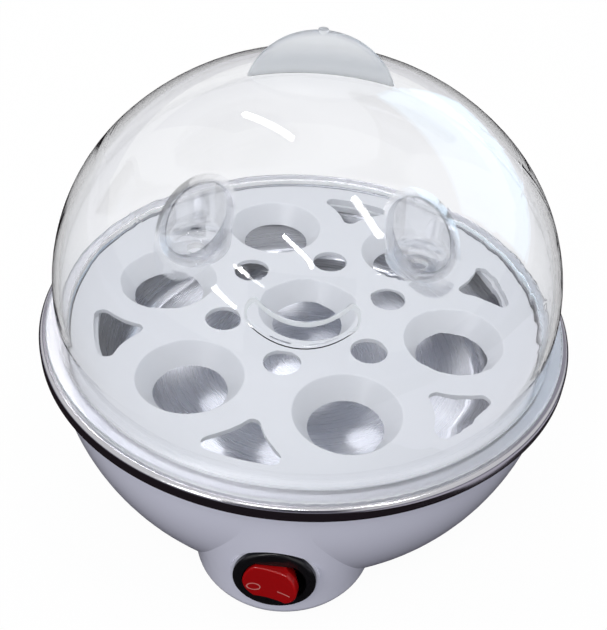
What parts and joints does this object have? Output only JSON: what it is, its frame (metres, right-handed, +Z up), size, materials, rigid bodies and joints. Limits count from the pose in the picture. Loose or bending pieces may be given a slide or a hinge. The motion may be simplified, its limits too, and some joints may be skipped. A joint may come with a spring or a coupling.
{
  "type": "egg cooker",
  "caption": "Round countertop egg cooker with a clear domed lid, a lift-out tray of egg cups over a steel heating dish, and a rocker switch on its white body.",
  "frame": {"origin": "middle of the footprint on the table, under the dish's axis", "axes": "+Z up along the dish's axis, the switch faces -Y, +X to the right of a user facing the switch"},
  "size_m": [0.16, 0.16, 0.1461],
  "materials": {
    "clear_plastic": "clear, polished",
    "tray_plastic": "fine satin, slightly milky",
    "pressed_steel": "circular brushed floor, polished rim",
    "white_plastic": "gloss",
    "soft_seal": "matt",
    "plated_steel": "zinc plated",
    "element_sheath": "drawn tube, slightly oxidised",
    "ceramic": "fired, matt",
    "tinned_brass": "tinned",
    "thermostat_alloy": "drawn",
    "fuse_metal": "drawn",
    "glass_sleeve": "woven glass",
    "block_plastic": "moulded",
    "black_rubber": "matt",
    "black_plastic": "gloss",
    "red_plastic": "gloss",
    "plunger_plastic": "moulded",
    "spring_steel": "drawn wire",
    "live_wire": "brown insulation",
    "neutral_wire": "blue insulation",
    "earth_wire": "green and yellow insulation"
  },
  "bodies": {
    "base": {"heating_dish": "pressed_steel", "body_shell": "white_plastic", "base_cover": "white_plastic", "dish_seal": "soft_seal", "tie_screws": "plated_steel", "dish_bosses": "plated_steel", "strap_studs": "plated_steel", "strap_nuts": "plated_steel", "thermostat_strap": "plated_steel", "terminal_screws": "plated_steel", "block_screw": "plated_steel", "fuse_clip": "plated_steel", "heating_element": "element_sheath", "element_pins": "element_sheath", "element_beads": "ceramic", "thermostat_body": "ceramic", "pin_crimps": "tinned_brass", "thermostat_tabs": "tinned_brass", "earth_tag": "tinned_brass", "common_terminal": "tinned_brass", "load_terminal": "tinned_brass", "spade_connectors": "tinned_brass", "thermostat_cap": "thermostat_alloy", "thermal_fuse": "fuse_metal", "fuse_sleeve": "glass_sleeve", "terminal_block": "block_plastic", "cord_gland": "black_rubber", "foot_1": "black_rubber", "foot_2": "black_rubber", "foot_3": "black_rubber", "foot_4": "black_rubber", "switch_housing": "black_plastic", "live_lead": "live_wire", "switched_lead": "live_wire", "fuse_lead": "live_wire", "heater_lead": "live_wire", "neutral_lead": "neutral_wire", "earth_lead": "earth_wire"},
    "tray": {"egg_tray": "tray_plastic"},
    "lid": {"lid": "clear_plastic"},
    "rocker": {"switch_rocker": "red_plastic", "rocker_plunger": "plunger_plastic", "rocker_spring": "spring_steel"},
    "contact": {"contact_blade": "tinned_brass"}
  },
  "joints": [
    {"name": "tray_lift", "type": "slide", "parent": "base", "child": "tray", "axis": [0, 0, 1], "range_m": [0, 0.06]},
    {"name": "lid_lift", "type": "slide", "parent": "tray", "child": "lid", "axis": [0, 0, 1], "range_m": [0, 0.12]},
    {"name": "rocker_press", "type": "hinge", "parent": "base", "child": "rocker", "pos_m": [0, -0.0726, 0.0222], "axis": [0, 0, 1], "range_deg": [0, 22]},
    {"name": "contact_rock", "type": "hinge", "parent": "base", "child": "contact", "pos_m": [0, -0.0672, 0.0222], "axis": [0, 0, 1], "range_deg": [-16, 0]}
  ],
  "couplings": [
    {"joint": "contact_rock", "follows": "rocker_press", "ratio": -0.7272}
  ]
}
